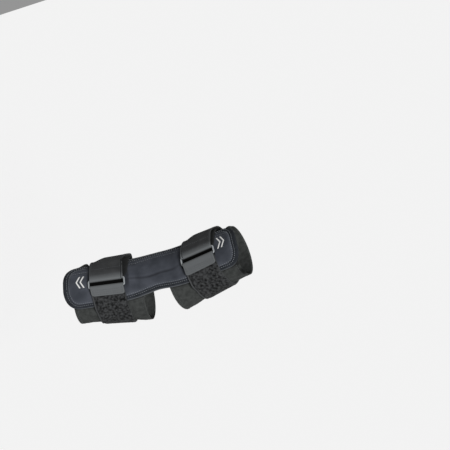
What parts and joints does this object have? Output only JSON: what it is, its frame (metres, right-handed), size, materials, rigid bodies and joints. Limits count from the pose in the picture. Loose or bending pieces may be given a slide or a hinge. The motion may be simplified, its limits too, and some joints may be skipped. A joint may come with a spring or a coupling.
{
  "type": "elbow brace",
  "caption": "Elbow brace shaped on a slightly bent arm: a padded splint panel along the front, held by wide elastic bands and by straps drawn through rings and closed on loop pile",
  "frame": {"origin": "middle of the elbow on the axis of the arm that wears the brace", "axes": "+X runs from the upper arm towards the hand, +Y across the arm, +Z leaves the front of the elbow, on the hollow side of its bend"},
  "size_m": [0.2811, 0.1106, 0.1115],
  "materials": {
    "panel_fabric": "matt laminated polyester knit over foam",
    "binding_tape": "matt woven tape",
    "elastic_knit": "matt elastic knit",
    "strap_webbing": "smooth laminated webbing with a soft sheen",
    "loop_pile": "rough loop pile",
    "ring_plastic": "satin moulded acetal"
  },
  "bodies": {
    "root": {"panel": "panel_fabric", "panel_binding": "binding_tape", "upper_arm_band": "elastic_knit", "forearm_band": "elastic_knit", "upper_arm_strap": "strap_webbing", "forearm_strap": "strap_webbing", "upper_arm_pile": "loop_pile", "forearm_pile": "loop_pile", "upper_arm_ring": "ring_plastic", "forearm_ring": "ring_plastic"}
  },
  "joints": []
}
